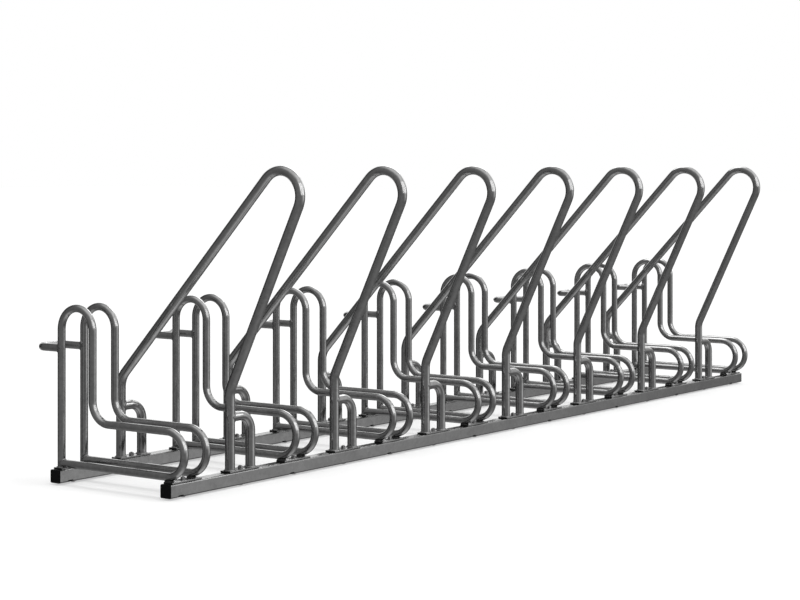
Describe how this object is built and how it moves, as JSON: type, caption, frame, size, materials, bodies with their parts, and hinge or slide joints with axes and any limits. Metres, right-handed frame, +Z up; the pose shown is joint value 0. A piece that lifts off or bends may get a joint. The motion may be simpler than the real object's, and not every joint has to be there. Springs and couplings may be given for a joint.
{
  "type": "floor bike rack",
  "caption": "Floor bike rack: square rails carry a row of bent-tube wheel loops with stop bars, and tall hoops between them that lean forward for the bicycle's frame.",
  "frame": {"origin": "on the ground, under the centre of the whole rack", "axes": "+X along the rails to the right as seen from the front, +Y from the front, where the wheels go in, to the rear, +Z up"},
  "size_m": [3.647, 0.8398, 0.9529],
  "materials": {
    "galvanised_steel": "hot-dip galvanised, dull grey with soft highlights",
    "fastener_zinc": "zinc plated, satin",
    "cap_plastic": "black moulded plastic, fine grain"
  },
  "bodies": {
    "root": {"front_rail": "galvanised_steel", "rear_rail": "galvanised_steel", "front_rail_cap_left": "cap_plastic", "front_rail_cap_right": "cap_plastic", "rear_rail_cap_left": "cap_plastic", "rear_rail_cap_right": "cap_plastic", "wheel_loop_left_1": "galvanised_steel", "wheel_loop_right_1": "galvanised_steel", "wheel_stop_1": "galvanised_steel", "wheel_loop_left_2": "galvanised_steel", "wheel_loop_right_2": "galvanised_steel", "wheel_stop_2": "galvanised_steel", "wheel_loop_left_3": "galvanised_steel", "wheel_loop_right_3": "galvanised_steel", "wheel_stop_3": "galvanised_steel", "wheel_loop_left_4": "galvanised_steel", "wheel_loop_right_4": "galvanised_steel", "wheel_stop_4": "galvanised_steel", "wheel_loop_left_5": "galvanised_steel", "wheel_loop_right_5": "galvanised_steel", "wheel_stop_5": "galvanised_steel", "wheel_loop_left_6": "galvanised_steel", "wheel_loop_right_6": "galvanised_steel", "wheel_stop_6": "galvanised_steel", "wheel_loop_left_7": "galvanised_steel", "wheel_loop_right_7": "galvanised_steel", "wheel_stop_7": "galvanised_steel", "wheel_loop_left_8": "galvanised_steel", "wheel_loop_right_8": "galvanised_steel", "wheel_stop_8": "galvanised_steel", "lean_hoop_1": "galvanised_steel", "hoop_front_brace_1": "galvanised_steel", "hoop_rear_brace_1": "galvanised_steel", "lean_hoop_2": "galvanised_steel", "hoop_front_brace_2": "galvanised_steel", "hoop_rear_brace_2": "galvanised_steel", "lean_hoop_3": "galvanised_steel", "hoop_front_brace_3": "galvanised_steel", "hoop_rear_brace_3": "galvanised_steel", "lean_hoop_4": "galvanised_steel", "hoop_front_brace_4": "galvanised_steel", "hoop_rear_brace_4": "galvanised_steel", "lean_hoop_5": "galvanised_steel", "hoop_front_brace_5": "galvanised_steel", "hoop_rear_brace_5": "galvanised_steel", "lean_hoop_6": "galvanised_steel", "hoop_front_brace_6": "galvanised_steel", "hoop_rear_brace_6": "galvanised_steel", "lean_hoop_7": "galvanised_steel", "hoop_front_brace_7": "galvanised_steel", "hoop_rear_brace_7": "galvanised_steel", "holder_front_plates": "galvanised_steel", "holder_rear_plates": "galvanised_steel", "hoop_front_plates": "galvanised_steel", "hoop_rear_plates": "galvanised_steel", "carriage_bolts": "fastener_zinc", "washers": "fastener_zinc", "nuts": "fastener_zinc"}
  },
  "joints": []
}
